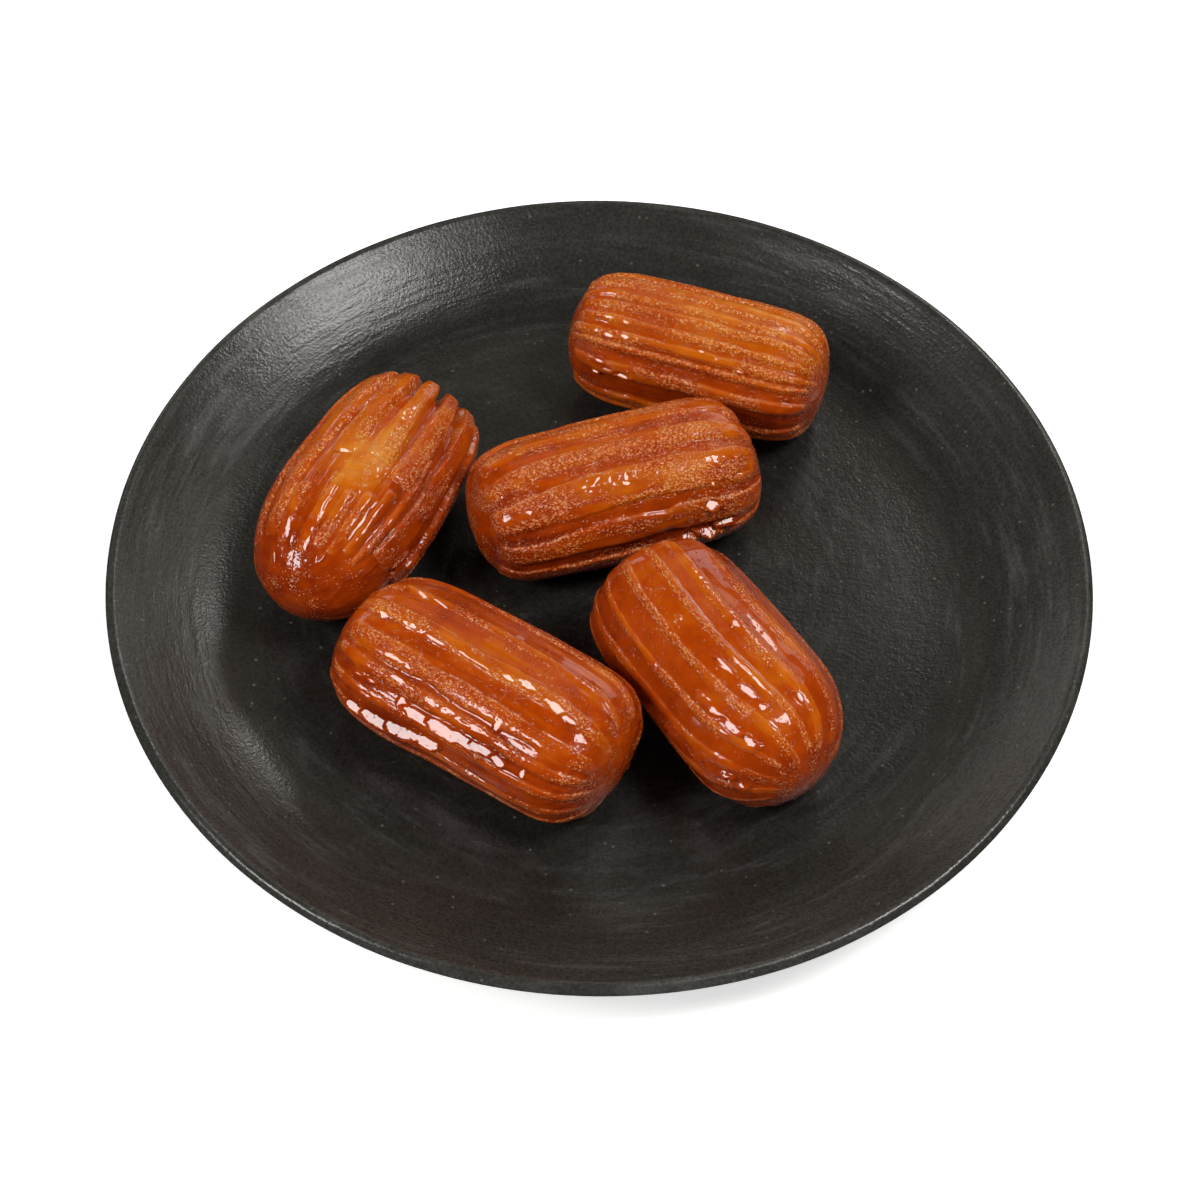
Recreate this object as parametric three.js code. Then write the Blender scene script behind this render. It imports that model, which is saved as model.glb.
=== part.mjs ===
// A plate of tulumba: five fluted, syrup-soaked fingers of fried dough on a
// round black stoneware plate.
//
// Millimetres, +Z up. The origin is the middle of the plate's foot, on the
// table. +X is the right of the plate and +Y the back, as it is served.

import * as THREE from 'three';

// Plate: a flat floor, a low wall that curves up out of it, a rounded lip and
// one plain foot ring underneath.
const PLATE_RADIUS = 100;
const PLATE_FLOOR_Z = 5;
const PLATE_RIM_Z = 16.5;
const FLOOR_RADIUS = 75;
const LIP_THICKNESS = 2.8;
const BASE_THICKNESS = 3.4;
const WALL_CURVE = 1.35;
const FOOT_INNER_RADIUS = 57;
const FOOT_OUTER_RADIUS = 63;
const FOOT_RECESS = 0.4;
const PLATE_SEGMENTS = 72;
const WALL_STEPS = 5;
const LIP_STEPS = 4;

// Tulumba: each one is a piped finger of dough, cut off at both ends.
const REST_GAP = 0.3;
const REST_SINK = 0.8;
const SECTION_EXPONENT = 2.2;
const RING_COUNT = 12;
const SAMPLES_PER_FLUTE = 4;
const CHANNEL_WIDTH = 0.55;
const TORN_OPENING = 0.7;
const TORN_HOLLOW = 5;

// position: middle of the finger on the plate. heading: direction of its
// length, anticlockwise from +X. ends: how square each end is (2 is a dome).
// depth: how deep the channels lie at the first end, the middle and the last.
const FINGERS = [
  {
    name: 'tulumba_1', x: 20.4, y: 52.5, heading: -16.8, length: 56, width: 29, height: 27.6,
    taper: -0.02, bow: -0.15, tilt: -0.02, ends: [5.9, 7.2],
    flutes: 16, turn: 4, twist: 4, depth: [0.5, 1.1, 0.9], torn: 0,
  },
  {
    name: 'tulumba_2', x: -48.7, y: 12.9, heading: 64.1, length: 60, width: 34, height: 28.1,
    taper: -0.115, bow: -0.1, tilt: 0, ends: [1.9, 6],
    flutes: 12, turn: 0, twist: -6, depth: [0.1, 1.5, 2.6], torn: 2.4,
  },
  {
    name: 'tulumba_3', x: 2.8, y: 16.0, heading: 18.7, length: 61.4, width: 30.9, height: 28,
    taper: 0.025, bow: 0.13, tilt: -0.02, ends: [7, 6],
    flutes: 13, turn: 8, twist: 8, depth: [0.6, 1.4, 0.9], torn: 0,
  },
  {
    name: 'tulumba_4', x: -22.2, y: -35.6, heading: -33.3, length: 63.4, width: 34.6, height: 27.9,
    taper: -0.01, bow: -0.75, tilt: 0.014, ends: [5.3, 7],
    flutes: 13, turn: 5, twist: 5, depth: [0.7, 1.5, 1.1], torn: 0,
  },
  {
    name: 'tulumba_5', x: 23.5, y: -30.3, heading: -56.3, length: 60, width: 33.6, height: 29.8,
    taper: 0.027, bow: -1.1, tilt: -0.009, ends: [6.5, 3.9],
    flutes: 13, turn: 10, twist: -5, depth: [0.7, 1.5, 0.8], torn: 0,
  },
];

const GLAZE = new THREE.MeshStandardMaterial({ color: 0x3c3d39, roughness: 0.42, metalness: 0 });
const CRUST = new THREE.MeshStandardMaterial({ color: 0xb2500f, roughness: 0.25, metalness: 0 });

const group = new THREE.Group();
group.name = 'plate_of_tulumba';

// A closed body from one outline turned round the Z axis. The outline runs
// from the axis over the top, round the edge and back to the axis beneath.
function turned(outline, segments) {
  const position = [];
  const index = [];
  const rings = outline.length - 2;
  position.push(0, 0, outline[0].y);
  for (let i = 1; i <= rings; i += 1) {
    for (let j = 0; j < segments; j += 1) {
      const angle = (2 * Math.PI * j) / segments;
      position.push(outline[i].x * Math.cos(angle), outline[i].x * Math.sin(angle), outline[i].y);
    }
  }
  position.push(0, 0, outline[rings + 1].y);
  joinRings(index, rings, segments);
  return bodyFrom(position, index);
}

// Triangles between rings of equal count, closed by a fan on a point at
// each end. Vertex 0 is the first point and the last vertex is the other.
function joinRings(index, rings, segments) {
  const last = 1 + rings * segments;
  for (let j = 0; j < segments; j += 1) {
    const next = (j + 1) % segments;
    index.push(0, 1 + j, 1 + next);
    for (let i = 0; i < rings - 1; i += 1) {
      const a = 1 + i * segments;
      const b = a + segments;
      index.push(a + j, b + j, b + next);
      index.push(a + j, b + next, a + next);
    }
    const end = 1 + (rings - 1) * segments;
    index.push(end + j, last, end + next);
  }
}

function bodyFrom(position, index) {
  const geometry = new THREE.BufferGeometry();
  geometry.setAttribute('position', new THREE.Float32BufferAttribute(position, 3));
  geometry.setIndex(index);
  geometry.computeVertexNormals();
  return geometry;
}

// The plate's outline. The wall rises as a power of the distance past the
// floor's edge. The outside follows the inside at an even thickness.
function plateOutline() {
  const lipRadius = LIP_THICKNESS / 2;
  const wallEnd = PLATE_RADIUS - LIP_THICKNESS;
  const wallTop = PLATE_RIM_Z - lipRadius;
  const run = wallEnd - FLOOR_RADIUS;
  const rise = wallTop - PLATE_FLOOR_Z;
  const inside = [];
  const outside = [];
  for (let i = 0; i <= WALL_STEPS; i += 1) {
    const t = i / WALL_STEPS;
    const r = FLOOR_RADIUS + run * t;
    const z = PLATE_FLOOR_Z + rise * t ** WALL_CURVE;
    const slope = ((rise * WALL_CURVE) / run) * t ** (WALL_CURVE - 1);
    const thickness = BASE_THICKNESS + (LIP_THICKNESS - BASE_THICKNESS) * t;
    const normal = new THREE.Vector2(slope, -1).normalize().multiplyScalar(thickness);
    inside.push(new THREE.Vector2(r, z));
    outside.push(new THREE.Vector2(r, z).add(normal));
  }
  const innerEdge = inside[WALL_STEPS];
  const outerEdge = outside[WALL_STEPS];
  const middle = innerEdge.clone().add(outerEdge).multiplyScalar(0.5);
  const start = innerEdge.clone().sub(middle);
  const lip = [];
  for (let i = 1; i < LIP_STEPS; i += 1) {
    lip.push(start.clone().rotateAround(new THREE.Vector2(), (-Math.PI * i) / LIP_STEPS).add(middle));
  }
  const underside = PLATE_FLOOR_Z - BASE_THICKNESS;
  return [
    new THREE.Vector2(0, PLATE_FLOOR_Z),
    new THREE.Vector2(FLOOR_RADIUS / 2, PLATE_FLOOR_Z),
    ...inside,
    ...lip,
    ...outside.reverse(),
    new THREE.Vector2(FOOT_OUTER_RADIUS + 1, underside),
    new THREE.Vector2(FOOT_OUTER_RADIUS, 0),
    new THREE.Vector2(FOOT_INNER_RADIUS, 0),
    new THREE.Vector2(FOOT_INNER_RADIUS - 1, underside - FOOT_RECESS),
    new THREE.Vector2(0, underside - FOOT_RECESS),
  ];
}

// Scales the outline to the stated radius and rim height, which the rounding
// of the lip would otherwise miss by a fraction of a millimetre.
function trueToSize(outline) {
  const widest = Math.max(...outline.map((point) => point.x));
  const tallest = Math.max(...outline.map((point) => point.y));
  for (const point of outline) {
    if (point.x > FOOT_OUTER_RADIUS + 1) {
      point.x += (PLATE_RADIUS - widest) * ((point.x - FOOT_OUTER_RADIUS) / (widest - FOOT_OUTER_RADIUS));
    }
    if (point.y > PLATE_FLOOR_Z) {
      point.y += (PLATE_RIM_Z - tallest) * ((point.y - PLATE_FLOOR_Z) / (tallest - PLATE_FLOOR_Z));
    }
  }
  return outline;
}

// How far into a channel a place on the round section lies: 0 on a ridge's
// crest, 1 along most of the channel's floor.
function channel(angle, flutes) {
  const wave = 0.5 - 0.5 * Math.cos(flutes * angle);
  return wave ** CHANNEL_WIDTH;
}

// Blends three values along the finger, from the first end to the last.
function along(values, u) {
  return u < 0 ? values[1] + (values[0] - values[1]) * u * u : values[1] + (values[2] - values[1]) * u * u;
}

// One finger: rings of a rounded section along its length. The ridges run the
// whole length with a slight twist, and the underside is pressed flat where
// it rests. At a torn end the ridges stand on past the middle as short fins.
function fingerGeometry(finger) {
  const halfLength = finger.length / 2;
  const halfWidth = finger.width / 2;
  const squash = (finger.height + REST_SINK) / finger.width;
  const segments = finger.flutes * SAMPLES_PER_FLUTE;
  const lowest = PLATE_FLOOR_Z + REST_GAP;
  const heading = THREE.MathUtils.degToRad(finger.heading);
  const position = [];
  const place = (u, side, up, push) => {
    const x = halfLength * u + push;
    const y = finger.bow * (u * u - 0.5) + side;
    const middle = lowest + (finger.height + REST_SINK) / 2 - REST_SINK + finger.tilt * x;
    position.push(
      finger.x + Math.cos(heading) * x - Math.sin(heading) * y,
      finger.y + Math.sin(heading) * x + Math.cos(heading) * y,
      Math.max(lowest, middle + squash * up),
    );
  };
  place(-1, 0, 0, 0);
  for (let i = 1; i <= RING_COUNT; i += 1) {
    const sweep = (Math.PI * i) / (RING_COUNT + 1);
    const bluntness = sweep < Math.PI / 2 ? finger.ends[0] : finger.ends[1];
    const u = -Math.sign(Math.cos(sweep)) * Math.abs(Math.cos(sweep)) ** (2 / bluntness);
    const rounded = halfWidth * Math.sin(sweep) ** (2 / SECTION_EXPONENT);
    const open = finger.torn > 0 && u > 0 ? TORN_OPENING * halfWidth : 0;
    const radius = Math.max(rounded, open) * (1 + finger.taper * u);
    for (let j = 0; j < segments; j += 1) {
      const angle = (2 * Math.PI * j) / segments;
      const groove = channel(angle, finger.flutes);
      const depth = along(finger.depth, u) * Math.min(1, (2 * radius) / finger.width + 0.1) * groove;
      const turned = angle + THREE.MathUtils.degToRad(finger.turn + (finger.twist * u) / 2);
      const fin = finger.torn * Math.max(0, u) ** 8 * (0.6 - groove);
      place(u, (radius - depth) * Math.sin(turned), (radius - depth) * Math.cos(turned), fin);
    }
  }
  place(1, 0, 0, finger.torn > 0 ? -TORN_HOLLOW : 0);
  const index = [];
  joinRings(index, RING_COUNT, segments);
  return bodyFrom(position, index);
}

const plate = new THREE.Mesh(turned(trueToSize(plateOutline()), PLATE_SEGMENTS), GLAZE);
plate.name = 'plate';
group.add(plate);

for (const finger of FINGERS) {
  const mesh = new THREE.Mesh(fingerGeometry(finger), CRUST);
  mesh.name = finger.name;
  group.add(mesh);
}

export default group;
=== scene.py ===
import math

import bpy
import numpy as np
from mathutils import Matrix, Vector


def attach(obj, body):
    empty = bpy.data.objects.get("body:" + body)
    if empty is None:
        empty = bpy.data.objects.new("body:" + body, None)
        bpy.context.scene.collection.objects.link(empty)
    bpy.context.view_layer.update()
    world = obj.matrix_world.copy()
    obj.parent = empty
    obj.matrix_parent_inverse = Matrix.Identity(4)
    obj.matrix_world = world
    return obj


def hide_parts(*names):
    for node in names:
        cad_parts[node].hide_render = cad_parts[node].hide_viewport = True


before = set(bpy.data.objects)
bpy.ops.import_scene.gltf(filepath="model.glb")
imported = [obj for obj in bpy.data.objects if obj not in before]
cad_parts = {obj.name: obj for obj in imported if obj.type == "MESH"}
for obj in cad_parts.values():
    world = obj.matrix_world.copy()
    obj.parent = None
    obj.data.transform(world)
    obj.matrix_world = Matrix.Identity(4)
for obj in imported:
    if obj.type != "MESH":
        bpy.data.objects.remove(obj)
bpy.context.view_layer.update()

scene = bpy.context.scene
MM = 0.001


# ---------------------------------------------------------------- the table
# A plain white table top under the plate, wide enough to fill every view.
# It belongs to the studio and not to the plate.

TABLE_HALF = 3.0
TABLE_WHITE = 0.93
TABLE_GLOW = 0.62


def join_mesh(name, points, faces):
    """One mesh object from an (n, 3) array in metres and an (m, k) array of corners."""
    mesh = bpy.data.meshes.new(name)
    faces = np.asarray(faces, dtype=np.int32)
    corners = faces.shape[1]
    mesh.vertices.add(len(points))
    mesh.vertices.foreach_set("co", np.asarray(points, dtype=np.float32).ravel())
    mesh.loops.add(faces.size)
    mesh.loops.foreach_set("vertex_index", faces.ravel())
    mesh.polygons.add(len(faces))
    mesh.polygons.foreach_set("loop_start", np.arange(0, faces.size, corners, dtype=np.int32))
    mesh.polygons.foreach_set("use_smooth", np.ones(len(faces), dtype=bool))
    mesh.update(calc_edges=True)
    mesh.validate()
    piece = bpy.data.objects.new(name, mesh)
    scene.collection.objects.link(piece)
    return piece


def new_material(name, **sockets):
    """A material with one Principled shader, its constant values set on its sockets."""
    material = bpy.data.materials.new(name)
    material.use_nodes = True
    shader = material.node_tree.nodes["Principled BSDF"]
    for socket, value in sockets.items():
        shader.inputs[socket.replace("_", " ")].default_value = value
    return material, material.node_tree, shader


table_corners = np.array([[-1, -1, 0], [1, -1, 0], [1, 1, 0], [-1, 1, 0]]) * TABLE_HALF
table_top = join_mesh("table_top", table_corners, [[0, 1, 2, 3]])
table_paint, _, _ = new_material(
    "table_paint", Base_Color=(TABLE_WHITE, TABLE_WHITE, TABLE_WHITE, 1), Roughness=0.9,
    Emission_Color=(1.0, 1.0, 1.0, 1), Emission_Strength=TABLE_GLOW)
table_top.data.materials.append(table_paint)
table_top.visible_glossy = False


# ---------------------------------------------------------------- light and camera
# Two bright square lamps stand left and right above the plate and a small one
# behind it. Dim walls of light behind the plate give the syrup its broad soft
# sheen, and a fill in front lights the near sides but isn't mirrored in them.

LAMP_COLOUR = (1.0, 0.985, 0.96)
PANEL_COLOUR = (1.0, 0.88, 0.70)
SIDE_PANEL_COLOUR = (1.0, 0.92, 0.78)
PLATE_MIDDLE = (0.0, 0.0, 0.01)
ROOM_LIGHT = 0.06
ROOM_SEEN = 0.95


def soft_lamp(name, place, width, height, glow, colour=LAMP_COLOUR):
    """A rectangular lamp, turned to the plate, whose face has the brightness `glow`. Its
    power in watts is glow x area x pi."""
    lamp = bpy.data.lights.new(name, "AREA")
    lamp.shape = "RECTANGLE"
    lamp.size, lamp.size_y = width, height
    lamp.energy = glow * width * height * math.pi
    lamp.color = colour
    holder = bpy.data.objects.new(name, lamp)
    scene.collection.objects.link(holder)
    holder.location = place
    facing = Vector(place) - Vector(PLATE_MIDDLE)
    holder.rotation_euler = facing.to_track_quat("Z", "Y").to_euler()
    return holder


soft_lamp("left_lamp", (-0.78, -0.36, 0.765), width=0.33, height=0.38, glow=16.0)
soft_lamp("right_lamp", (0.62, -0.10, 1.06), width=0.42, height=0.37, glow=16.0)
soft_lamp("back_panel", (0.10, 0.95, 0.88), width=1.1, height=0.60, glow=0.35,
          colour=PANEL_COLOUR)
soft_lamp("right_back_panel", (0.60, 0.80, 0.88), width=0.6, height=0.5, glow=1.0,
          colour=SIDE_PANEL_COLOUR)
front_fill = soft_lamp("front_fill", (0.0, -1.2, 0.30), width=1.4, height=0.5, glow=1.1)
front_fill.visible_glossy = False
soft_lamp("back_wall_right", (0.85, 1.50, 0.42), width=1.0, height=0.60, glow=1.3)
soft_lamp("back_wall_left", (-0.90, 1.45, 0.38), width=0.8, height=0.50, glow=1.4)
soft_lamp("back_lamp", (0.42, 1.05, 0.95), width=0.22, height=0.22, glow=10.0)

world = bpy.data.worlds.new("room")
world.use_nodes = True
scene.world = world
world.cycles_visibility.glossy = False
room = world.node_tree
room_light = room.nodes["Background"]
room_light.inputs["Color"].default_value = (1.0, 1.0, 1.0, 1)
room_light.inputs["Strength"].default_value = ROOM_LIGHT
room_seen = room.nodes.new("ShaderNodeBackground")
room_seen.inputs["Color"].default_value = (ROOM_SEEN, ROOM_SEEN, ROOM_SEEN, 1)
ray_kind = room.nodes.new("ShaderNodeLightPath")
room_mix = room.nodes.new("ShaderNodeMixShader")
room.links.new(ray_kind.outputs["Is Camera Ray"], room_mix.inputs[0])
room.links.new(room_light.outputs[0], room_mix.inputs[1])
room.links.new(room_seen.outputs[0], room_mix.inputs[2])
room.links.new(room_mix.outputs[0], room.nodes["World Output"].inputs[0])

scene.view_settings.view_transform = "Standard"

# The lens looks down at the plate from the front, 65 cm from its middle.
LENS_ELEVATION = 53.83
LENS_ROLL = 0.548
LENS_DISTANCE = 0.650
LENS_TARGET = (0.00016, -0.00322, 0.0065)
IMAGE_SIDE = 1200
FOCAL_PIXELS = 3172.1
SENSOR_WIDTH = 36.0

tilt = math.radians(LENS_ELEVATION)
roll = math.radians(LENS_ROLL)
lens_back = Vector((0, -math.cos(tilt), math.sin(tilt)))
level_right = Vector((1, 0, 0))
level_up = lens_back.cross(level_right)
lens_right = level_right * math.cos(roll) + level_up * math.sin(roll)
lens_up = level_up * math.cos(roll) - level_right * math.sin(roll)
camera_data = bpy.data.cameras.new("camera")
camera_data.sensor_width = SENSOR_WIDTH
camera_data.lens = SENSOR_WIDTH * FOCAL_PIXELS / IMAGE_SIDE
camera_data.clip_start = 0.01
camera = bpy.data.objects.new("camera", camera_data)
scene.collection.objects.link(camera)
turn = Matrix((lens_right, lens_up, lens_back)).transposed().to_4x4()
camera.matrix_world = Matrix.Translation(Vector(LENS_TARGET) + lens_back * LENS_DISTANCE) @ turn
scene.camera = camera


# ---------------------------------------------------------------- plate
# A wheel-thrown stoneware plate: a flat floor, a low wall that curves up out
# of it, a rounded lip and a turned foot. Its black glaze is satin, brushed on
# in circles while the plate turned, with fine pale specks of clay in it.

PLATE_RADIUS = 100 * MM
FLOOR_TOP = 5 * MM
RIM_TOP = 16.5 * MM
FLOOR_RADIUS = 75 * MM
LIP_THICKNESS = 2.8 * MM
BASE_THICKNESS = 3.4 * MM
WALL_CURVE = 1.35
WALL_BLEND = 3 * MM
FOOT_RADII = (57 * MM, 63 * MM)
FOOT_CORNER = 0.5 * MM
FOOT_CLEAR = 4 * MM
UNDERSIDE = 1.6 * MM
MIDDLE_RECESS = 0.4 * MM
PLATE_SECTORS = 240
FLOOR_RINGS, WALL_RINGS, LIP_RINGS, UNDER_RINGS = 50, 40, 14, 24
WAVER = 0.35 * MM
SMALL_WAVER = 0.08 * MM

CELL_PRIMES = (73856093, 19349663, 83492791)
SEED_PRIME = 2654435761
BIT_SHIFTS = (13, 7, 17)
BIT_STIRRER = 0x9E3779B97F4A7C15
FAR_CORNER = 1000.0


def lattice(cell, seed):
    """A random value from -1 to 1 for every whole-number cell. Its three numbers, each times
    a prime, are mixed bit by bit, and the top 24 bits are read as the value."""
    mixed = np.uint64(seed * SEED_PRIME & 0xFFFFFFFF)
    for axis, prime in enumerate(CELL_PRIMES):
        mixed = mixed ^ cell[..., axis].astype(np.uint64) * np.uint64(prime)
    for shift in BIT_SHIFTS:
        mixed ^= mixed >> np.uint64(shift)
        mixed *= np.uint64(BIT_STIRRER)
    return (mixed >> np.uint64(40)).astype(float) / float(1 << 23) - 1.0


def lumps(points, size, seed):
    """Smooth random lumps about `size` across: a random value on each corner of a cubic
    lattice, blended between corners by 6t^5 - 15t^4 + 10t^3 along each axis."""
    place = points / size + FAR_CORNER
    cell = np.floor(place).astype(np.int64)
    part = place - cell
    part = part ** 3 * (part * (part * 6 - 15) + 10)
    total = 0.0
    for corner in range(8):
        pick = np.array([corner & 1, corner >> 1 & 1, corner >> 2 & 1])
        weight = np.prod(np.where(pick == 1, part, 1 - part), axis=-1)
        total = total + weight * lattice(cell + pick, seed)
    return total


def smooth_line(points, steps):
    """A Catmull-Rom curve through (n, 2) points, `steps` places for each span: on each span
    the cubic whose slope at a point is half the way between that point's neighbours."""
    points = np.asarray(points, dtype=float)
    ends = np.vstack([2 * points[0] - points[1], points, 2 * points[-1] - points[-2]])
    t = np.linspace(0, 1, steps, endpoint=False)[:, None]
    spans = []
    for a, b, c, d in zip(ends[:-3], ends[1:-2], ends[2:-1], ends[3:]):
        spans.append(0.5 * (2 * b + (c - a) * t + (2 * a - 5 * b + 4 * c - d) * t ** 2
                            + (3 * b - a - 3 * c + d) * t ** 3))
    return np.vstack(spans + [points[-1:]])


def level_line(first, last, height, count):
    """`count` places (radius, height) on a level stretch of the section."""
    radius = np.linspace(first, last, count)
    return np.stack([radius, np.full_like(radius, height)], axis=1)


def plate_outline():
    """The plate's section from its middle, over the lip, to its middle underneath. The wall
    rises as (distance past the floor's edge) to the power WALL_CURVE, blended into the floor
    over WALL_BLEND, and the outside follows the inside at the plate's thickness."""
    lip = LIP_THICKNESS / 2
    inner, outer = FOOT_RADII
    run = PLATE_RADIUS - LIP_THICKNESS - FLOOR_RADIUS
    rise = RIM_TOP - lip - FLOOR_TOP
    wall_r = np.linspace(FLOOR_RADIUS - 4 * WALL_BLEND, PLATE_RADIUS - LIP_THICKNESS, WALL_RINGS)
    t = WALL_BLEND / run * np.logaddexp(0, (wall_r - FLOOR_RADIUS) / WALL_BLEND)
    inside = np.stack([wall_r, FLOOR_TOP + rise * t ** WALL_CURVE], axis=1)
    slope = np.gradient(inside[:, 1], wall_r)
    outward = np.stack([slope, -np.ones_like(slope)], axis=1)
    outward /= np.linalg.norm(outward, axis=1)[:, None]
    thickness = BASE_THICKNESS + (LIP_THICKNESS - BASE_THICKNESS) * t
    outside = inside + outward * thickness[:, None]
    middle = (inside[-1] + outside[-1]) / 2
    reach = inside[-1] - middle
    bend = -np.linspace(0, np.pi, LIP_RINGS)[1:-1]
    rounded = middle + np.stack([reach[0] * np.cos(bend) - reach[1] * np.sin(bend),
                                 reach[0] * np.sin(bend) + reach[1] * np.cos(bend)], axis=1)
    outside = outside[wall_r > outer + FOOT_CLEAR]
    floor = level_line(0, wall_r[0], FLOOR_TOP, FLOOR_RINGS)[:-1]
    corner = FOOT_CORNER
    recess = UNDERSIDE - MIDDLE_RECESS
    foot = smooth_line([(outer + 2.4 * corner, UNDERSIDE), (outer + corner, UNDERSIDE - corner),
                        (outer, corner), (outer - corner, 0)], 4)
    heel = smooth_line([(inner + corner, 0), (inner, corner),
                        (inner - corner, UNDERSIDE - 2 * corner),
                        (inner - 2.4 * corner, recess)], 4)
    under = level_line(inner - 3 * corner, 0, recess, UNDER_RINGS)
    outline = np.vstack([floor, inside, rounded, outside[::-1], foot, heel, under])
    # Brought to the stated radius and height, which the lip's rounding would just miss.
    wall = outline[:, 0] > outer
    outline[wall, 0] += (PLATE_RADIUS - outline[:, 0].max()) * (
        (outline[wall, 0] - outer) / (outline[:, 0].max() - outer))
    high = outline[:, 1] > FLOOR_TOP
    outline[high, 1] += (RIM_TOP - outline[:, 1].max()) * (
        (outline[high, 1] - FLOOR_TOP) / (outline[:, 1].max() - FLOOR_TOP))
    return outline


def ring_faces(rings, around):
    """Triangles between rings of equal count, with a fan on a single point at each end."""
    j = np.arange(around)
    k = (j + 1) % around
    last = 1 + rings * around
    row = 1 + np.arange(rings - 1)[:, None] * around
    strips = [np.stack([row + j, row + around + j, row + around + k], -1).reshape(-1, 3),
              np.stack([row + j, row + around + k, row + k], -1).reshape(-1, 3)]
    first = np.stack([0 * j, 1 + j, 1 + k], axis=-1)
    end = 1 + (rings - 1) * around
    final = np.stack([end + j, 0 * j + last, end + k], axis=-1)
    return np.vstack([first] + strips + [final])


def turned(outline, sectors):
    """Points and triangles of an outline turned round the Z axis, closed at both middles."""
    rings = outline[1:-1]
    angle = np.linspace(0, 2 * np.pi, sectors, endpoint=False)
    body = np.stack([rings[:, :1] * np.cos(angle), rings[:, :1] * np.sin(angle),
                     rings[:, 1:] + 0 * angle], axis=-1).reshape(-1, 3)
    ends = np.array([[0, 0, outline[0, 1]], [0, 0, outline[-1, 1]]])
    return np.vstack([ends[:1], body, ends[1:]]), ring_faces(len(rings), sectors)


plate_points, plate_faces = turned(plate_outline(), PLATE_SECTORS)
reach = np.linalg.norm(plate_points[:, :2], axis=1)
upward = np.clip((reach - FLOOR_RADIUS) / (PLATE_RADIUS - FLOOR_RADIUS), 0, 1)
# Thrown by hand: the wall wavers by a few tenths of a millimetre.
waver = (lumps(plate_points, 45 * MM, seed=3) * WAVER
         + lumps(plate_points, 14 * MM, seed=4) * SMALL_WAVER)
plate_points[:, 2] += waver * upward
plate = join_mesh("stoneware_plate", plate_points, plate_faces)


class Nodes:
    """Short calls for wiring one material: each makes a node and returns its output."""

    def __init__(self, tree):
        self.tree = tree

    def feed(self, socket, value):
        """Links an output to a socket, or sets a constant on it."""
        if hasattr(value, "is_output"):
            self.tree.links.new(value, socket)
        else:
            socket.default_value = value

    def make(self, kind, feeds=None, **settings):
        node = self.tree.nodes.new(kind)
        for name, value in settings.items():
            setattr(node, name, value)
        for socket, value in (feeds or {}).items():
            self.feed(node.inputs[socket], value)
        return node

    def math(self, operation, a, b=0.0, c=None, clamp=False):
        feeds = {0: a, 1: b}
        if c is not None:
            feeds[2] = c
        return self.make("ShaderNodeMath", feeds, operation=operation, use_clamp=clamp).outputs[0]

    def noise(self, place, scale, detail, rough):
        feeds = {"Vector": place, "Scale": scale, "Detail": detail, "Roughness": rough}
        return self.make("ShaderNodeTexNoise", feeds).outputs["Fac"]

    def ramp(self, fac, stops):
        node = self.make("ShaderNodeValToRGB", {"Fac": fac})
        band = node.color_ramp
        while len(band.elements) < len(stops):
            band.elements.new(0.5)
        for element, (position, colour) in zip(band.elements, stops):
            element.position = position
            element.color = (*colour, 1)
        return node.outputs["Color"]

    def mix(self, fac, a, b, blend="MIX"):
        node = self.make("ShaderNodeMix", data_type="RGBA", blend_type=blend)
        for socket, value in ((0, fac), (6, a), (7, b)):
            self.feed(node.inputs[socket], value)
        return node.outputs[2]

    def band(self, value, low, high, to_low=0.0, to_high=1.0):
        feeds = {"Value": value, "From Min": low, "From Max": high, "To Min": to_low,
                 "To Max": to_high}
        return self.make("ShaderNodeMapRange", feeds, interpolation_type="SMOOTHSTEP").outputs[0]

    def bump(self, height, distance, strength=1.0, normal=None):
        feeds = {"Height": height, "Distance": distance, "Strength": strength}
        if normal is not None:
            feeds["Normal"] = normal
        return self.make("ShaderNodeBump", feeds).outputs[0]


GLAZE_STOPS = [(0.10, (0.0170, 0.0160, 0.0140)), (0.45, (0.0250, 0.0243, 0.0220)),
               (0.85, (0.0420, 0.0424, 0.0396))]
SPECK_COLOUR = (0.12, 0.12, 0.11, 1)


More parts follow.
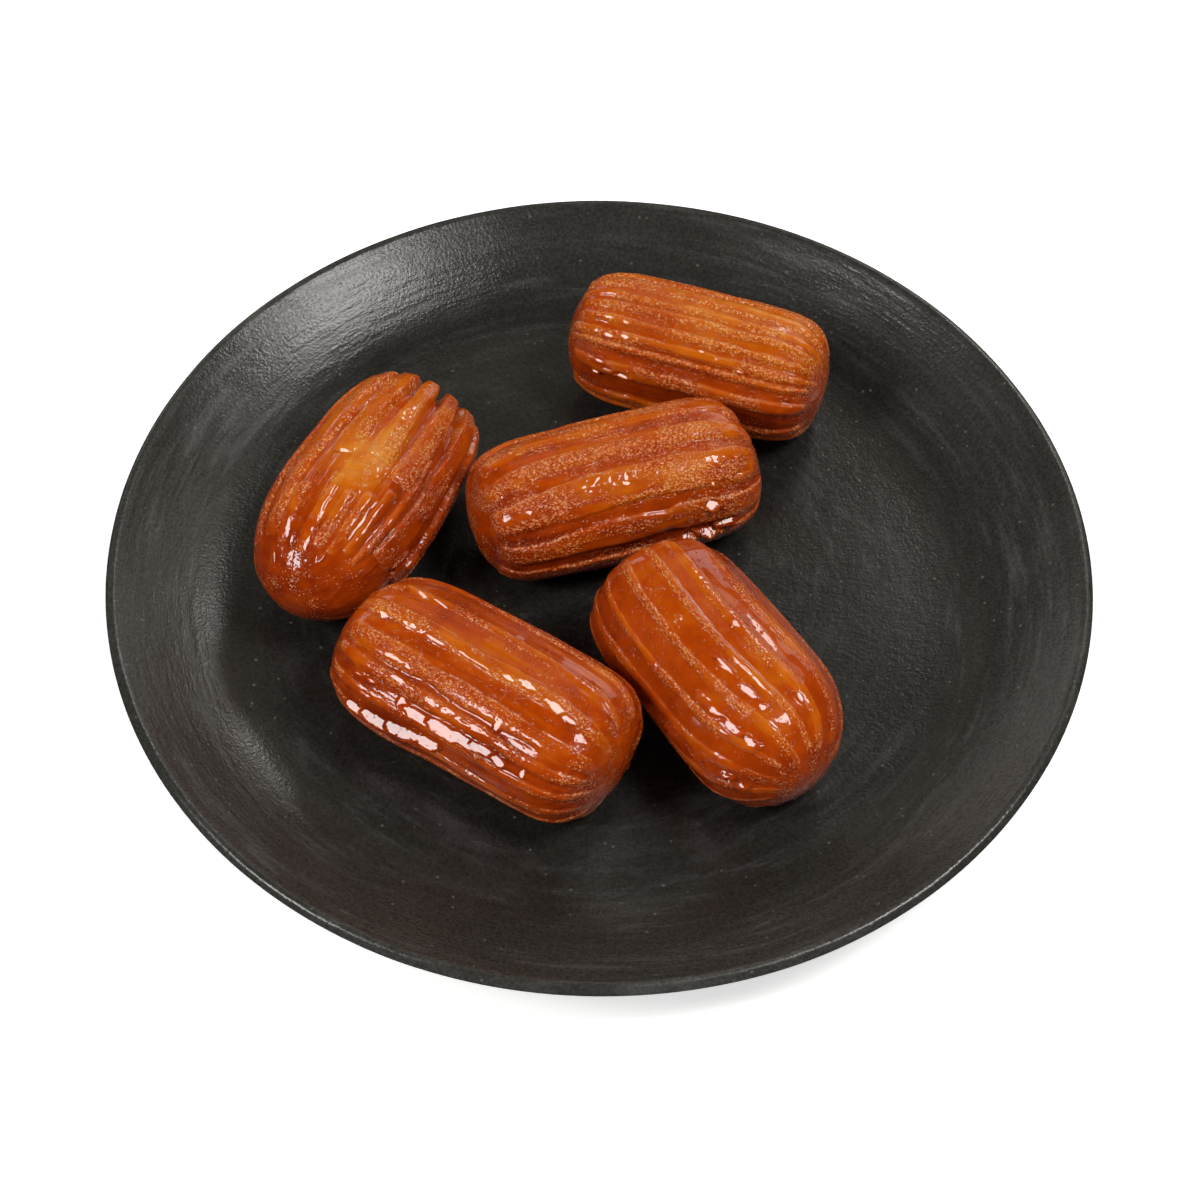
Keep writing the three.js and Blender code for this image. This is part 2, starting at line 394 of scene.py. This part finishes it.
def black_glaze():
    """Satin black glaze: noise stretched round the plate gives brush strokes, a second noise
    dulls it in soft clouds, small cells near their middles give the pale specks, and the
    wall is paler towards the rim."""
    material, tree, shader = new_material("black_glaze", Specular_IOR_Level=0.44)
    n = Nodes(tree)
    place = n.make("ShaderNodeTexCoord").outputs["Object"]
    x, y, z = n.make("ShaderNodeSeparateXYZ", {0: place}).outputs
    flat = n.make("ShaderNodeCombineXYZ", {0: x, 1: y}).outputs[0]
    radius = n.make("ShaderNodeVectorMath", {0: flat}, operation="LENGTH").outputs["Value"]
    around = n.make("ShaderNodeVectorMath", {0: flat}, operation="NORMALIZE").outputs[0]
    sweep = n.make("ShaderNodeSeparateXYZ", {0: around})
    stroke_place = n.make("ShaderNodeCombineXYZ", {
        0: n.math("MULTIPLY", sweep.outputs[0], 0.012),
        1: n.math("MULTIPLY", sweep.outputs[1], 0.012),
        2: n.math("ADD", radius, n.math("MULTIPLY", z, 0.6)),
    }).outputs[0]
    strokes = n.noise(stroke_place, scale=520.0, detail=4.0, rough=0.62)
    broad_strokes = n.noise(stroke_place, scale=130.0, detail=2.0, rough=0.5)
    clouds = n.noise(place, scale=26.0, detail=3.0, rough=0.55)
    blotches = n.noise(place, scale=95.0, detail=4.0, rough=0.65)
    pebble = n.noise(place, scale=1500.0, detail=2.0, rough=0.6)
    specks = n.make("ShaderNodeTexVoronoi", {"Vector": place, "Scale": 620.0})
    spread = n.make("ShaderNodeSeparateColor", {0: specks.outputs["Color"]})
    speck_size = n.band(spread.outputs[0], 0.80, 1.0, to_high=0.24)
    speck = n.band(n.math("SUBTRACT", speck_size, specks.outputs["Distance"]), 0.0, 0.06)

    stroke_tone = n.math("MULTIPLY", n.band(strokes, 0.35, 0.75), n.band(broad_strokes, 0.3, 0.7))
    tone = n.math("ADD", n.math("MULTIPLY", clouds, 0.45), n.math("MULTIPLY", stroke_tone, 0.55))
    colour = n.ramp(tone, GLAZE_STOPS)
    grainy = n.band(pebble, 0.30, 0.70, to_low=0.72, to_high=1.30)
    paler = n.math("MULTIPLY", grainy, n.band(radius, 0.072, 0.094, to_low=1.0, to_high=1.75))
    paler = n.make("ShaderNodeCombineColor", {0: paler, 1: paler, 2: paler}).outputs[0]
    colour = n.mix(1.0, colour, paler, "MULTIPLY")
    colour = n.mix(n.math("MULTIPLY", speck, 0.7), colour, SPECK_COLOUR)
    tree.links.new(colour, shader.inputs["Base Color"])
    rough = n.math("ADD", n.band(clouds, 0.3, 0.75, to_low=0.18, to_high=0.27),
                   n.math("MULTIPLY", stroke_tone, 0.12))
    rough = n.math("ADD", rough, n.math("MULTIPLY", n.band(blotches, 0.6, 0.8), 0.08))
    tree.links.new(rough, shader.inputs["Roughness"])
    on_wall = n.band(radius, 0.070, 0.090)
    fine = n.bump(pebble, 0.00007)
    combed = n.bump(strokes, 0.00020, n.math("MULTIPLY_ADD", on_wall, 0.5, 0.2), fine)
    dented = n.bump(blotches, 0.00020, 0.6, combed)
    tree.links.new(dented, shader.inputs["Normal"])
    return material


plate.data.materials.append(black_glaze())
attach(plate, "root")
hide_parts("plate")


# ---------------------------------------------------------------- tulumba
# Five fingers of dough, piped through a star nozzle, fried brown and soaked
# in syrup. The nozzle leaves raised bands of grainy crust along each finger,
# and clear syrup lies between and over them as a smooth glassy skin.

# All of this section's lengths are in millimetres, up to the finished mesh.
ROWS = 316
AROUND = 300
REST_GAP = 0.12
REST_SINK = 0.8
PRESSED_EDGE = 0.25
SECTION_EXPONENT = 2.2
BAND_START, BAND_STOP = -0.90, 0.95
BAND_CORNER = 0.35
SHOULDER = 0.22
CREST = 0.14
MENISCUS = 0.11
MENISCUS_WIDTH = 0.22
LINE_WIDTH = 0.15
SKIN_BLEND = 0.05
BEAD_LENGTH = 1.3
PALE_SWELL = 0.5
TORN_RIM = 0.80
FAR_OUTSIDE = -50.0
WIDE_GAP = 60.0


def run_of_finger(length, width, ends):
    """Places along one side of the finger at even steps of its surface, as (along, radius)
    and the outward direction there: (|along| ^ end) + (radius ^ 2.2) = 1, with its own
    exponent for each end, 2 for a dome and 7 for a nearly square cut."""
    fine = np.sin(np.linspace(-1, 1, 20001) * np.pi / 2)
    power = np.where(fine < 0, ends[0], ends[1])
    radius = width / 2 * (1 - np.abs(fine) ** power) ** (1 / SECTION_EXPONENT)
    along = fine * length / 2
    steps = np.hypot(np.diff(along), np.diff(radius))
    travelled = np.concatenate([[0], np.cumsum(steps)])
    wanted = np.linspace(0, travelled[-1], ROWS + 2)[1:-1]
    x = np.interp(wanted, travelled, along)
    r = np.interp(wanted, travelled, radius)
    dx = np.gradient(x)
    dr = np.gradient(r)
    size = np.hypot(dx, dr)
    return x, r, -dr / size, dx / size


def all_bands(draw, shown, pitch):
    """Every raised band round a finger, as rows of (middle, half-width, start, stop): those
    that show, and more of them about `pitch` degrees apart round the hidden side."""
    shown = [(*band, BAND_START, BAND_STOP)[:4] for band in shown]
    middles = [band[0] for band in shown]
    first, last = max(middles), min(middles) + 360
    count = round((last - first) / pitch)
    usual = np.mean([band[1] for band in shown])
    rest = [(first + (last - first) * (k + draw.uniform(-0.12, 0.12)) / count,
             usual * draw.uniform(0.8, 1.2), BAND_START, BAND_STOP) for k in range(1, count)]
    return np.array(shown + rest)


def places_round(bands):
    """AROUND angles round the finger, closest together at the edges of the bands and on the
    upper side: evenly spaced steps of the running total of 1 + edges + upper side."""
    fine = np.linspace(-180, 180, 7201)
    crowd = 1.0 + 0.5 * np.cos(np.radians(fine))
    for middle, half, _, _ in bands:
        off = (fine - middle + 180) % 360 - 180
        crowd = crowd + 1.3 * np.exp(-((np.abs(off) - half) / 1.6) ** 2)
    total = np.concatenate([[0], np.cumsum(crowd[:-1])])
    return np.interp(np.arange(AROUND) / AROUND * total[-1], total, fine)


def soft_min(a, b, blend):
    """The lower of two heights, with the corner between them rounded over about `blend`."""
    return -blend * np.logaddexp(-a / blend, -b / blend)


def at_ends(u):
    """0 along a finger's middle, rising to 1 over the last of its length at both ends."""
    return np.clip((np.abs(u) - 0.86) / 0.10, 0, 1)


def among_bands(draw, bands, seed, length, lane, X, R):
    """Where each place lies among the bands. The first field is how far inside its nearest
    band it is: the least of the ways to the band's sides and ends, below nought outside. The
    second runs from -1 at a band's upper side to 1 at its lower side. The last two are the
    angles to the next band above and below."""
    x = X[:, 0]
    inside = np.full(R.shape, FAR_OUTSIDE)
    lower_side = np.zeros(R.shape)
    gap_above = np.full(R.shape, WIDE_GAP)
    gap_below = np.full(R.shape, WIDE_GAP)
    for k, (middle, half, start, stop) in enumerate(bands):
        path = np.stack([x, 0 * x + 40.0 * k, 0 * x], axis=-1)
        strayed = middle + 0.7 * lumps(path, 9.0, seed + 1)[:, None]
        spread = half * (1 + 0.18 * lumps(path, 6.0, seed + 2)[:, None])
        off = (lane - strayed + 180) % 360 - 180
        sides = np.radians(spread - np.abs(off)) * np.maximum(R, 2.0)
        start_at = (start + draw.uniform(-0.03, 0.03)) * length / 2
        stop_at = (stop + draw.uniform(-0.03, 0.03)) * length / 2
        to_ends = np.minimum(X - start_at, stop_at - X)
        own = soft_min(sides, to_ends, BAND_CORNER)
        lower_side = np.where(own > inside, np.clip(-off / spread, -1, 1), lower_side)
        inside = np.maximum(inside, own)
        gap = np.clip(np.abs(off) - spread, 0, None)
        gap_above = np.where(off < 0, np.minimum(gap_above, gap), gap_above)
        gap_below = np.where(off > 0, np.minimum(gap_below, gap), gap_below)
    return inside, lower_side, gap_above, gap_below


def keep_field(piece, label, kind, key, values):
    """Stores one value or vector for every point of a mesh, for its material to read."""
    store = piece.data.attributes.new(label, kind, "POINT")
    store.data.foreach_set(key, values.astype(np.float32).ravel())


def finger(name, seed, centre, heading, length, width, height, ends, shown, pitch, depth,
           taper=0.0, bow=0.0, tilt=0.0, twist=0.0, arch=0.0, syrup=0.5, swell=0.1, grain=0.8,
           sand=0.04, lump=0.3, fry_and_shade=0.4, torn=0.0, hollow=0.0, pale=None, drops=(), pools=(),
           sprinkle=0.08, threads=0.04, sheens=()):
    """One finger, in millimetres. Its skin is the higher of two surfaces, blended where they
    meet: the crust, which is the body less `depth` outside the bands, and the syrup, a smooth
    face that fills `syrup` of that depth. A band's edge is where its distance, the least of
    the ways to its sides and its ends, is nought, and a thin meniscus of syrup stands there.
    Each row of `pools` and `sheens` is a thick drop's place (along, round), its half length
    and half width, and the direction it looks in. The underside is pressed flat where it
    rests."""
    draw = np.random.default_rng(seed)
    bands = all_bands(draw, shown, pitch)
    x, r, out_x, out_r = run_of_finger(length, width, ends)
    lane = places_round(bands)
    u = (2 * x / length)[:, None]
    psi = np.radians(lane + twist / 2 * u + arch * u ** 2)
    X, R = np.broadcast_arrays(x[:, None], r[:, None] + 0 * psi)
    base = np.stack([X, R * np.sin(psi), R * np.cos(psi)], axis=-1)

    inside, lower_side, gap_above, gap_below = among_bands(draw, bands, seed, length, lane, X, R)
    ragged = inside + 0.20 * lumps(base * [0.5, 1, 1], 1.1, seed + 3)
    raised = 0.5 + 0.5 * np.tanh(ragged / (SHOULDER * (1.6 + 0.8 * lower_side)))
    edge = np.exp(-(ragged / MENISCUS_WIDTH) ** 2)

    reach = np.clip(R / (0.45 * width), 0, 1) ** 1.5
    groove = np.interp(u, (-1, 0, 1), depth) * reach
    body = lump * lumps(base, 13.0, seed + 4) + 0.3 * lump * lumps(base, 5.0, seed + 5)
    grit = sand * (lumps(base, 0.6, seed + 6) + 0.7 * lumps(base, 1.2, seed + 7))
    crest = CREST * (1 - np.exp(-np.clip(ragged, 0, None) / 0.8))
    crust = groove * (raised - 1) + crest + grit * (0.3 + 0.7 * raised)

    # Syrup stands against the band on its downhill side, as a terrace that rises towards it,
    # with a level that drifts from place to place and swells that run along the finger.
    drift = lumps(base * [0.15, 1, 1], 6.0, seed + 8)
    swells = lumps(base * [0.35, 1, 1], 2.6, seed + 9)
    below_top = 0.5 - 0.5 * np.tanh(psi / 0.35)
    fall = (gap_above + 0.01) / (gap_above + gap_below + 0.02)
    fall = below_top * fall + (1 - below_top) * (1 - fall)
    pool = groove * (syrup * (0.3 + 0.7 * fall ** 1.6) - 1 + 0.2 * drift) + swell * swells
    for drop_u, drop_lane, size in drops:
        away = np.hypot(X - drop_u * length / 2, np.radians(lane - drop_lane) * R)
        pool = pool + 0.55 * size * np.sqrt(np.clip(1 - (away / size) ** 2, 0, 1))
    skin = SKIN_BLEND * np.logaddexp(crust / SKIN_BLEND, pool / SKIN_BLEND)
    standing = (0.6 - 0.4 * lower_side) * (0.8 + 0.5 * lumps(base * [0.5, 1, 1], 1.3, seed + 10))
    skin = skin + MENISCUS * edge * standing
    # Fine lines that the nozzle drew along the dough.
    drawn = lumps(base * [0.10, 1, 1], 0.9, seed + 19) * (1 - 0.6 * at_ends(u))
    skin = skin + threads * drawn

    # How dark each place browned in the oil, with painted shade and painted highlight worked in:
    # darker low on the sides and in the channels, where shade falls, lighter along the bands'
    # edges as a painted highlight, and lighter on the raised threads and darker between them.
    # Then how thick the grains lie on it, and a painted glint along the lower edge of a band.
    shade_turned_away = np.clip(1 - out_r[:, None] * np.cos(psi), 0, 0.6)
    tone = fry_and_shade + 0.32 * shade_turned_away + 0.16 * (1 - raised) - 0.10 * edge - 1.8 * threads * drawn
    tone = tone + 0.13 * lumps(base, 11.0, seed + 11) + 0.07 * lumps(base, 3.0, seed + 12)
    patchy = np.clip(0.7 + 1.3 * lumps(base * [0.3, 1, 1], 2.2, seed + 13), 0, 1.5)
    cover = grain * (0.75 * raised + 0.9 * edge + 0.7 * at_ends(u))
    cover = cover * (0.9 + 0.4 * lower_side) * patchy + sprinkle * patchy
    # A painted glint along a band's edge, broken into dashes.
    glint_line = np.exp(-(ragged / LINE_WIDTH) ** 2) * np.clip(0.6 - 0.6 * lower_side, 0, 1)
    glint_line = glint_line * np.clip(0.6 + 1.2 * lumps(base * [0.4, 1, 1], 1.0, seed + 18), 0, 1)

    # Thick drops of syrup that stand still: each a flat face, turned the way it looks. Under
    # a pool the grains are drowned, under a sheen about half of them still show.
    uneven = 0.20 * lumps(base, 1.4, seed + 16) + 0.08 * lumps(base, 0.7, seed + 20)
    ripple = 0.05 + 0.015 * lumps(base, 1.6, seed + 17)
    for row, drowned in [(row, 1.0) for row in pools] + [(row, 0.55) for row in sheens]:
        pool_u, pool_lane, half_long, half_wide, look_along, look_round = row
        across = X - pool_u * length / 2
        uphill = np.radians(lane - pool_lane) * R
        here = 1 - np.clip((np.hypot(across / half_long, uphill / half_wide) + uneven - 0.90)
                           / 0.25, 0, 1)
        here = here * here * (3 - 2 * here)
        own_slope = math.asin(np.interp(pool_u * length / 2, x, out_x))
        own_round = math.radians(pool_lane + twist / 2 * pool_u + arch * pool_u ** 2)
        lean_along = math.tan(math.radians(look_along) - own_slope)
        lean_round = math.tan(math.radians(look_round) - own_round)
        flat = uphill ** 2 / width - lean_along * across - lean_round * uphill + ripple
        skin = skin + here * (flat - skin)
        cover = cover * (1 - drowned * here)
        glint_line = glint_line * (1 - here)
    if pale:
        pale_u, pale_lane, size_u, size_lane = pale
        pale_here = np.exp(-((u - pale_u) / size_u) ** 2 - ((lane - pale_lane) / size_lane) ** 2)
        tone = tone - 0.42 * pale_here
        skin = skin + pale_here * (PALE_SWELL + 0.25 * lumps(base, 1.8, seed + 14))
    skin = skin + body

    # The torn end: the bands stand on as fins and the middle is drawn in.
    push = np.zeros_like(skin)
    if torn:
        late = np.clip((u - 0.5) / 0.5, 0, 1)
        push = torn * late ** 2 * (1.5 * raised - 0.7) + 0.6 * late * lumps(base, 3.0, seed + 15)
        rim = TORN_RIM * width / 2
        push = push - hollow * np.clip(1 - (R / rim) ** 2, 0, 1) * (u > 0)

    # Place: along, to the side and up, with the bow, taper and slight tilt.
    normal = np.stack([out_x[:, None] + 0 * psi, out_r[:, None] * np.sin(psi),
                       out_r[:, None] * np.cos(psi)], axis=-1)
    shape = base + normal * skin[..., None]
    shape[..., 0] += push
    narrowing = 1 + taper * u
    squash = min(1.0, (height + REST_SINK) / width)
    side = shape[..., 1] * narrowing + bow * (u ** 2 - 0.5)
    up = shape[..., 2] * narrowing * squash
    low = up + (height - REST_SINK) / 2 + tilt * shape[..., 0]
    low = REST_GAP + PRESSED_EDGE * np.logaddexp(0, (low - REST_GAP) / PRESSED_EDGE)
    face = np.radians(heading)
    world_x = centre[0] + np.cos(face) * shape[..., 0] - np.sin(face) * side
    world_y = centre[1] + np.sin(face) * shape[..., 0] + np.cos(face) * side
    grid = np.stack([world_x, world_y, low + FLOOR_TOP / MM], axis=-1)
    poles = np.array([grid[0].mean(axis=0), grid[-1].mean(axis=0)])
    points = np.vstack([poles[:1], grid.reshape(-1, 3), poles[1:]]) * MM
    piece = join_mesh(name, points, ring_faces(ROWS, AROUND))

    for label, field in (("fry_and_shade", tone), ("grain", np.clip(cover, 0, 1)), ("glint_line", glint_line)):
        values = np.concatenate([[field[0].mean()], field.ravel(), [field[-1].mean()]])
        keep_field(piece, label, "FLOAT", "value", values)
    lay = base * [1 / BEAD_LENGTH, 1, 1]
    lay = np.vstack([lay[:1].mean(axis=1), lay.reshape(-1, 3), lay[-1:].mean(axis=1)]) * MM
    keep_field(piece, "lay", "FLOAT_VECTOR", "vector", lay)
    return piece


CRUST_STOPS = [(0.02, (0.74, 0.270, 0.030)), (0.28, (0.62, 0.140, 0.005)),
               (0.55, (0.47, 0.060, 0.002)), (0.85, (0.25, 0.021, 0.001)),
               (1.0, (0.13, 0.010, 0.001))]
# A pale colour painted on the bead crowns and along the bands' edges, as painted glints.
GLINT_COLOUR = (0.98, 0.56, 0.27, 1)
# Each size of bead: cells to a metre, height in metres and radius as a part of a cell.
BEAD_SIZES = ((1600.0, 0.00016, 0.60), (2800.0, 0.00007, 0.58))


def syruped_crust():
    """Fried dough under clear syrup. Colour runs from pale dough to red-brown with how dark it
    browned, with painted shade and painted highlight worked in. The grains are round beads of
    two sizes, one to a cell, in as many cells as `grain` says. Painted shade darkens the hollows
    between them, and their crowns and the strip along a band's edge are painted a pale glint
    colour."""
    material, tree, shader = new_material(
        "syruped_crust", Coat_Weight=1.0, Coat_Roughness=0.03, Coat_IOR=1.46,
        Subsurface_Weight=0.35, Subsurface_Scale=0.0020, Subsurface_Radius=(1.0, 0.30, 0.06),
        IOR=1.40, Specular_IOR_Level=0.06)
    n = Nodes(tree)
    place = n.make("ShaderNodeTexCoord").outputs["Object"]
    fry_and_shade_fac = n.make("ShaderNodeAttribute", attribute_name="fry_and_shade").outputs["Fac"]
    grain = n.make("ShaderNodeAttribute", attribute_name="grain").outputs["Fac"]
    edge_line = n.make("ShaderNodeAttribute", attribute_name="glint_line").outputs["Fac"]
    lay = n.make("ShaderNodeAttribute", attribute_name="lay").outputs["Vector"]
    mottle = n.noise(place, scale=420.0, detail=3.0, rough=0.6)
    tone = n.math("ADD", fry_and_shade_fac, n.math("MULTIPLY", n.math("SUBTRACT", mottle, 0.5), 0.30))
    beads = 0.0
    crown = 0.0
    for cells, height, size in BEAD_SIZES:
        cell = n.make("ShaderNodeTexVoronoi", {"Vector": lay, "Scale": cells})
        chance = n.make("ShaderNodeSeparateColor", {0: cell.outputs["Color"]}).outputs[0]
        here = n.band(n.math("SUBTRACT", grain, chance), -0.04, 0.04)
        fall = n.math("DIVIDE", cell.outputs["Distance"], size)
        dome = n.math("SUBTRACT", 1.0, n.math("MULTIPLY", fall, fall), clamp=True)
        dome = n.math("MULTIPLY", dome, here)
        crown = n.math("MAXIMUM", crown, dome)
        beads = n.math("ADD", beads, n.math("MULTIPLY", dome, height))
    # Painted shade and highlight: darker in the hollows between the beads and paler on their
    # crowns, as thick as the grains lie.
    shade_between_beads = n.math("MULTIPLY", n.math("SUBTRACT", 0.5, crown), grain)
    tone = n.math("ADD", tone, n.math("MULTIPLY", shade_between_beads, 0.40))
    colour = n.ramp(tone, CRUST_STOPS)
    # Painted glints: the crowns of the beads and dashes along a band's edge are painted pale.
    bright = n.math("MULTIPLY", n.band(crown, 0.70, 0.96), n.band(grain, 0.1, 0.8, to_high=0.50))
    dotted = n.math("MULTIPLY", edge_line, n.math("MULTIPLY_ADD", crown, 0.55, 0.10))
    bright = n.math("MAXIMUM", bright, dotted)
    colour = n.mix(bright, colour, GLINT_COLOUR)
    tree.links.new(colour, shader.inputs["Base Color"])
    tree.links.new(n.math("MULTIPLY_ADD", grain, 0.12, 0.22), shader.inputs["Roughness"])
    beaded = n.bump(beads, 1.0)
    tree.links.new(beaded, shader.inputs["Normal"])
    tree.links.new(beaded, shader.inputs["Coat Normal"])
    return material


crust_material = syruped_crust()


def serve(piece, node):
    """Gives a finger its crust, hangs it under the root and hides the solid in model.glb that it
    stands for.
    """
    piece.data.materials.append(crust_material)
    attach(piece, "root")
    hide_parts(node)


def looking(look_along, look_round, *places):
    """Rows for `pools` and `sheens`: places that all look in one direction, the one in which
    they mirror a lamp."""
    return [(*place, look_along, look_round) for place in places]


# Back right: the smallest finger, from a finer nozzle with many low bands.
back_finger = finger(
    "tulumba_back", seed=11, centre=(20.4, 52.5), heading=-16.8, length=56.0, width=28.8,
    height=27.4, ends=(5.9, 7.2), taper=-0.02, bow=-0.15, tilt=-0.02, twist=-2.0,
    shown=[(19, 7), (1, 3.2), (-10, 3), (-25, 3.2), (-39, 4), (-49, 2.5), (-70, 6), (-104, 6)],
    pitch=18, depth=(0.80, 1.15, 1.0), syrup=0.42, grain=0.9, fry_and_shade=0.27, sprinkle=0.3,
    threads=0.05,
    pools=looking(
        -12, -41,
        (-0.64, -25, 1.2, 0.45), (-0.50, -26.5, 1.1, 0.45), (-0.61, -41, 1.4, 0.5),
        (-0.48, -38.5, 1.4, 0.55), (-0.65, -65, 1.4, 0.5), (-0.67, -77, 1.1, 0.5),
        (-0.57, -71, 1.3, 0.5), (-0.44, -73, 2.2, 0.6), (0.10, -34.5, 0.9, 0.4),
        (0.22, -37.5, 0.9, 0.4), (0.41, -43, 1.0, 0.4)))
serve(back_finger, "tulumba_1")

# Left: drawn off at its far end, where the bands are torn into fins, and
# paler on top where it floated above the oil.
left_finger = finger(
    "tulumba_left", seed=23, centre=(-48.7, 12.9), heading=64.1, length=60.0, width=34.2,
    height=28.1, ends=(1.9, 6.0), taper=-0.115, bow=-0.1, twist=-4.0,
    shown=[(67, 10, -0.7, 1.2), (40, 9, -0.7, 1.2), (14, 9, 0.0, 1.2), (-13, 9, 0.05, 1.2),
           (-37, 9, 0.0, 1.2), (-65, 10, -0.55, 1.2), (-93, 10, -0.55, 1.2),
           (26, 5, -0.78, -0.3), (3, 4, -0.80, -0.2), (-11, 3.5, -0.74, -0.3),
           (-24, 4, -0.72, -0.25), (-35, 3.5, -0.66, -0.1), (-47, 3, -0.66, 0.3)],
    pitch=27, depth=(0.4, 1.1, 3.2), syrup=0.40, grain=0.6, fry_and_shade=0.39, sprinkle=0.2,
    torn=2.8, hollow=4.5, pale=(-0.06, -10, 0.42, 21),
    pools=looking(-42, 5, (-0.65, 21, 2.4, 0.6), (-0.73, 13, 1.2, 0.5), (-0.72, -2, 1.6, 0.5),
                  (-0.77, -20, 1.0, 0.6))
    + looking(-13, -32, (-0.39, -70, 1.6, 0.5)),
    sheens=looking(-13, -32, (-0.42, -76, 2.6, 0.8), (-0.33, -86, 2.6, 0.9)))
serve(left_finger, "tulumba_2")

# Middle: straight, with a glassy dome at its left end.
middle_finger = finger(
    "tulumba_middle", seed=37, centre=(2.8, 16.0), heading=18.7, length=61.4, width=30.8,
    height=28.0, ends=(7.0, 6.0), taper=0.025, bow=0.13, tilt=-0.02, twist=2.0, arch=-10.0,
    shown=[(33, 9), (1, 7.5), (-33, 14), (-70, 11), (-103, 10)],
    pitch=28, depth=(0.75, 1.05, 0.85), syrup=0.45, grain=0.9, fry_and_shade=0.35, sprinkle=0.5,
    threads=0.06,
    pools=looking(
        8, -29,
        (0.54, -64, 1.5, 1.3), (0.56, -46, 0.5, 0.8), (0.01, -28, 0.4, 1.1),
        (0.0, -32, 1.0, 0.4), (-0.68, -31, 1.0, 0.6), (0.78, -42, 2.0, 0.4),
        (0.66, -88, 1.6, 0.5)),
    sheens=looking(8, -29, (0.38, -93, 2.6, 0.8), (0.50, -90, 3.0, 1.0), (0.62, -85, 2.6, 0.8)))
serve(middle_finger, "tulumba_3")

# Front left: the widest, with the thickest syrup.
front_left_finger = finger(
    "tulumba_front_left", seed=41, centre=(-22.2, -35.6), heading=-33.3, length=63.4,
    width=34.6, height=27.9, ends=(5.3, 7.0), taper=-0.01, bow=-0.75, tilt=0.014, twist=-8.0,
    shown=[(50, 4), (22, 3.5), (-4, 5.5), (-31, 6.5), (-49, 4.5), (-69, 4), (-92, 4)],
    pitch=24, depth=(0.60, 0.95, 0.70), syrup=0.60, grain=0.75, fry_and_shade=0.33, sprinkle=0.15,
    threads=0.06,
    pools=looking(
        -3, -42,
        (-0.29, -60, 1.3, 1.5), (-0.14, -62.5, 4.2, 1.4), (0.02, -62, 4.5, 1.5),
        (0.17, -60, 4.0, 1.3), (0.32, -58.7, 3.5, 1.2), (0.43, -60, 2.0, 1.2),
        (0.35, -68, 1.8, 0.5), (0.60, -58.5, 0.9, 1.1), (-0.55, -69, 1.8, 0.6),
        (-0.44, -68, 1.6, 0.5), (-0.64, -58, 1.0, 0.6), (-0.54, -57, 1.3, 0.6),
        (-0.58, -87, 3.4, 1.0), (-0.42, -85.5, 4.2, 1.2), (-0.24, -83.5, 4.2, 1.4),
        (-0.08, -82, 3.6, 1.3), (0.33, -38, 0.9, 1.5), (0.23, -47, 3.5, 0.5),
        (0.41, -48, 2.0, 0.5), (0.02, -46, 1.5, 0.5), (-0.38, -45, 2.0, 0.5),
        (0.35, -4, 2.6, 0.9), (0.23, -6.5, 1.8, 0.7), (0.59, -6, 3.0, 0.8),
        (0.70, -8, 1.8, 0.7), (-0.50, -9, 2.0, 0.6), (-0.30, -9.8, 3.0, 0.5),
        (-0.70, -11, 1.3, 0.6))
    + looking(9, 15, (-0.61, 18.3, 3.2, 0.7), (-0.46, 17.8, 2.6, 0.6))
    + looking(-3, -42, (0.56, -85, 0.8, 0.5), (0.70, -86, 1.6, 0.4)))
serve(front_left_finger, "tulumba_4")

# Front right: broad channels full of syrup between narrow bands.
front_right_finger = finger(
    "tulumba_front_right", seed=59, centre=(23.5, -30.3), heading=-56.3, length=60.0,
    width=33.4, height=29.8, ends=(6.5, 3.9), taper=0.027, bow=-1.1, twist=9.0, arch=18.0,
    shown=[(37, 5), (11, 4.5), (-8, 2.5), (-31, 3), (-55, 3), (-77, 4.5), (-101, 5)],
    pitch=24, depth=(0.50, 0.75, 0.55), syrup=0.70, fry_and_shade=0.37, threads=0.015,
    drops=[(-0.24, -20, 0.9), (-0.5, -17, 0.5)],
    pools=looking(
        9, -39,
        (0.34, -44.5, 2.6, 1.2), (0.46, -46, 4.2, 0.9), (0.62, -47.8, 4.2, 0.9),
        (0.75, -48.8, 2.0, 0.8), (0.26, -18.2, 3.2, 0.65), (0.49, -20, 2.6, 0.75),
        (0.63, -22, 1.0, 0.7))
    + looking(0, 12, (0.02, 8, 1.1, 1.0)) + looking(27, 1, (0.68, 4.8, 1.3, 0.6))
    + looking(9, -39, (0.30, -76, 1.6, 0.6)),
    sheens=looking(9, -39, (0.10, -85, 3.6, 0.9), (0.30, -83, 4.0, 1.0), (0.50, -84, 4.0, 1.0),
                   (0.68, -87, 3.2, 0.9), (0.82, -93, 2.0, 0.7)))
serve(front_right_finger, "tulumba_5")
